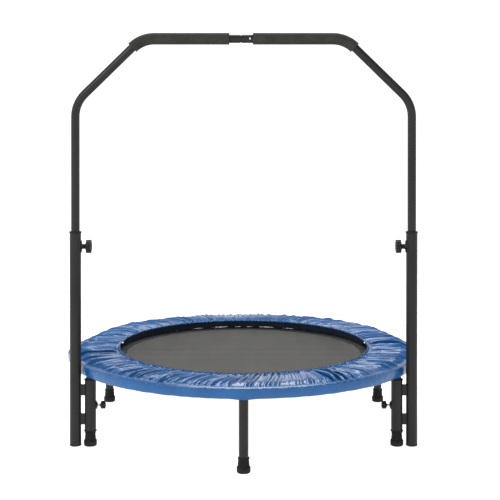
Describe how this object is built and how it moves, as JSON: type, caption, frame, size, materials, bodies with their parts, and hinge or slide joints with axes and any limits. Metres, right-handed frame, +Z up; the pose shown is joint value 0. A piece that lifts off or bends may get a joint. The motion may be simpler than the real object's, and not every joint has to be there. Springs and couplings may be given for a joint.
{
  "type": "mini trampoline",
  "caption": "Round fitness rebounder on short legs with coil springs, a padded spring cover, a fold across the middle and a height-adjustable handrail with foam grips.",
  "frame": {"origin": "on the floor under the middle of the round frame's bounding box", "axes": "+Z up, +Y away from the handrail, +X to the right when seen from the handrail side"},
  "size_m": [1.0312, 1.026, 1.1541],
  "materials": {
    "frame_steel": "satin black powder coat",
    "handle_steel": "satin black powder coat",
    "zinc_steel": "zinc plated",
    "spring_steel": "bright zinc wire",
    "button_steel": "polished",
    "black_plastic": "moulded, fine grain",
    "foot_rubber": "matt moulded rubber",
    "grip_foam": "closed-cell foam",
    "pad_cover": "glossy PVC cover over thin foam",
    "mat_weave": "woven polypropylene",
    "mat_webbing": "woven webbing"
  },
  "bodies": {
    "front_frame": {"ring_front": "frame_steel", "leg_bosses_front": "frame_steel", "leg_plugs_front": "zinc_steel", "leg_front_left": "frame_steel", "leg_front_centre": "frame_steel", "leg_front_right": "frame_steel", "foot_front_left": "foot_rubber", "foot_front_centre": "foot_rubber", "foot_front_right": "foot_rubber", "hinge_bolts_front": "zinc_steel", "upright_left": "frame_steel", "upright_right": "frame_steel", "upright_caps": "black_plastic", "upright_collar_left": "black_plastic", "upright_collar_right": "black_plastic", "sleeve_left": "frame_steel", "sleeve_right": "frame_steel", "sleeve_collars": "black_plastic", "sleeve_plates": "frame_steel", "upper_bosses": "frame_steel", "lower_bosses": "frame_steel", "pad_front": "pad_cover", "springs_front": "spring_steel"},
    "hinge_link": {"hinge_bracket_left": "frame_steel", "hinge_bracket_right": "frame_steel"},
    "rear_frame": {"ring_rear": "frame_steel", "leg_bosses_rear": "frame_steel", "leg_plugs_rear": "zinc_steel", "leg_rear_left": "frame_steel", "leg_rear_centre": "frame_steel", "leg_rear_right": "frame_steel", "foot_rear_left": "foot_rubber", "foot_rear_centre": "foot_rubber", "foot_rear_right": "foot_rubber", "hinge_bolts_rear": "zinc_steel", "pad_rear": "pad_cover", "springs_rear": "spring_steel"},
    "mat_front": {"mat_front": "mat_weave", "mat_band_front": "mat_webbing", "v_rings_front": "spring_steel"},
    "mat_middle": {"mat_middle": "mat_weave"},
    "mat_rear": {"mat_rear": "mat_weave", "mat_band_rear": "mat_webbing", "v_rings_rear": "spring_steel"},
    "handlebar": {"handle_tube_left": "handle_steel", "handle_tube_right": "handle_steel", "handle_joiner": "handle_steel", "grip_left": "grip_foam", "grip_right": "grip_foam", "slide_plugs": "black_plastic"},
    "snap_button": {"snap_button": "button_steel"},
    "knob_upper_left": {"knob_upper_left": "black_plastic", "screw_upper_left": "zinc_steel"},
    "knob_upper_right": {"knob_upper_right": "black_plastic", "screw_upper_right": "zinc_steel"},
    "knob_lower_left": {"knob_lower_left": "black_plastic", "screw_lower_left": "zinc_steel"},
    "knob_lower_right": {"knob_lower_right": "black_plastic", "screw_lower_right": "zinc_steel"}
  },
  "joints": [
    {"name": "fold_front", "type": "hinge", "parent": "front_frame", "child": "hinge_link", "pos_m": [0, -0.036, 0.209], "axis": [1, 0, 0], "range_deg": [0, 84]},
    {"name": "fold_rear", "type": "hinge", "parent": "hinge_link", "child": "rear_frame", "pos_m": [0, 0.036, 0.209], "axis": [1, 0, 0], "range_deg": [0, 84]},
    {"name": "handle_height", "type": "slide", "parent": "front_frame", "child": "handlebar", "axis": [0, 0, 1], "range_m": [-0.2, 0]},
    {"name": "button_press", "type": "slide", "parent": "handlebar", "child": "snap_button", "axis": [0, 1, 0], "range_m": [0, 0.0028], "stiffness_N_per_m": 500},
    {"name": "mat_bounce", "type": "slide", "parent": "front_frame", "child": "mat_front", "axis": [0, 0, 1], "range_m": [-0.08, 0], "stiffness_N_per_m": 4000, "deforming": ["springs_front"]},
    {"name": "mat_bounce_middle", "type": "slide", "parent": "hinge_link", "child": "mat_middle", "axis": [0, 0, 1], "range_m": [-0.08, 0], "stiffness_N_per_m": 500},
    {"name": "mat_bounce_rear", "type": "slide", "parent": "rear_frame", "child": "mat_rear", "axis": [0, 0, 1], "range_m": [-0.08, 0], "stiffness_N_per_m": 4000, "deforming": ["springs_rear"]},
    {"name": "knob_upper_left_turn", "type": "hinge", "parent": "front_frame", "child": "knob_upper_left", "pos_m": [-0.44028, -0.2475, 0.557], "axis": [1, 0, 0], "range_deg": [-720, 0]},
    {"name": "knob_upper_right_turn", "type": "hinge", "parent": "front_frame", "child": "knob_upper_right", "pos_m": [0.44028, -0.2475, 0.557], "axis": [-1, 0, 0], "range_deg": [-720, 0]},
    {"name": "knob_lower_left_turn", "type": "hinge", "parent": "front_frame", "child": "knob_lower_left", "pos_m": [-0.39868, -0.2475, 0.113], "axis": [1, 0, 0], "range_deg": [-720, 0]},
    {"name": "knob_lower_right_turn", "type": "hinge", "parent": "front_frame", "child": "knob_lower_right", "pos_m": [0.39868, -0.2475, 0.113], "axis": [-1, 0, 0], "range_deg": [-720, 0]}
  ],
  "couplings": [
    {"joint": "fold_front", "follows": "fold_rear", "ratio": 1},
    {"joint": "mat_bounce_middle", "follows": "mat_bounce", "ratio": 1},
    {"joint": "mat_bounce_rear", "follows": "mat_bounce", "ratio": 1}
  ]
}
